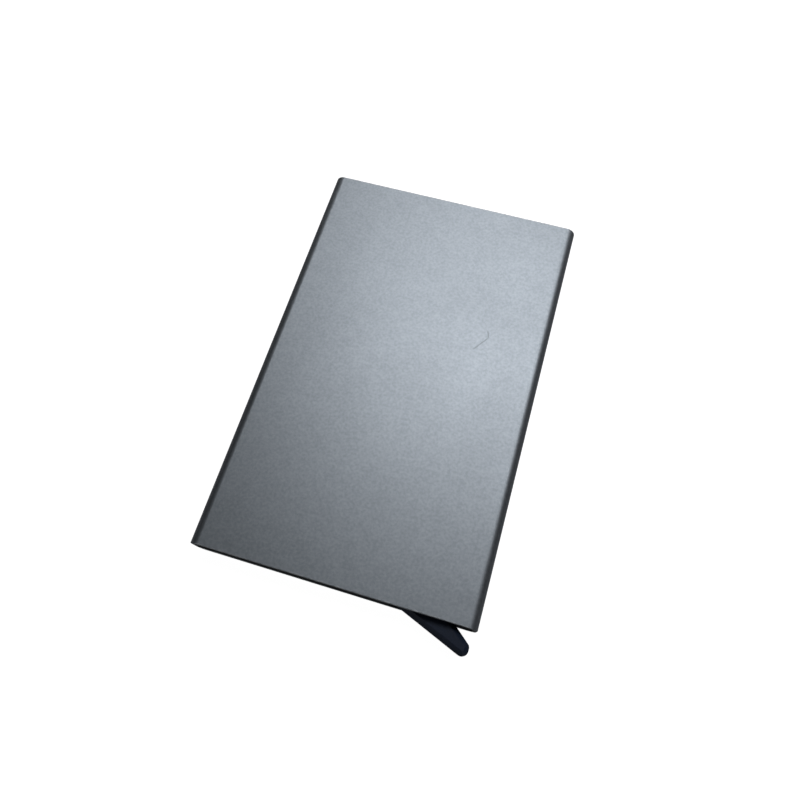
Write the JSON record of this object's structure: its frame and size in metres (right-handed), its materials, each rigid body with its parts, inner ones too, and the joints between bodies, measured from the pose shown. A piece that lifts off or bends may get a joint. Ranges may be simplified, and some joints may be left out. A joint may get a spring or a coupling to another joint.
{
  "type": "minimalist wallet",
  "caption": "Slim metal card sleeve, open at the top, closed by a plastic base whose pivoting finger lever pushes the cards out in steps.",
  "frame": {"origin": "centre of the rear face, on the outside", "axes": "+X to the finger lever's side, +Y along the length to the open mouth, +Z out of the front face"},
  "size_m": [0.0624, 0.1034, 0.008],
  "materials": {
    "case_aluminium": "bead-blasted and anodised slate grey",
    "base_plastic": "fine spark texture, black",
    "lever_plastic": "satin, blue-black",
    "pin_steel": "ground",
    "pad_rubber": "matte",
    "rail_plastic": "matte black",
    "comb_rubber": "soft, dark grey",
    "stop_plastic": "matte black",
    "felt": "short pile, charcoal"
  },
  "bodies": {
    "holder": {"case_tube": "case_aluminium", "base_cap": "base_plastic", "lever_pin": "pin_steel", "lever_stop_pad": "pad_rubber", "left_rail": "rail_plastic", "right_rail": "rail_plastic", "left_comb": "comb_rubber", "right_comb": "comb_rubber", "left_mouth_stop": "stop_plastic", "right_mouth_stop": "stop_plastic", "left_felt_strip": "felt", "right_felt_strip": "felt"},
    "lever": {"eject_lever": "lever_plastic"}
  },
  "joints": [
    {"name": "lever_swing", "type": "hinge", "parent": "holder", "child": "lever", "pos_m": [0.0145, -0.045, 0.004], "axis": [0, 0, -1], "range_deg": [0, 40]}
  ]
}
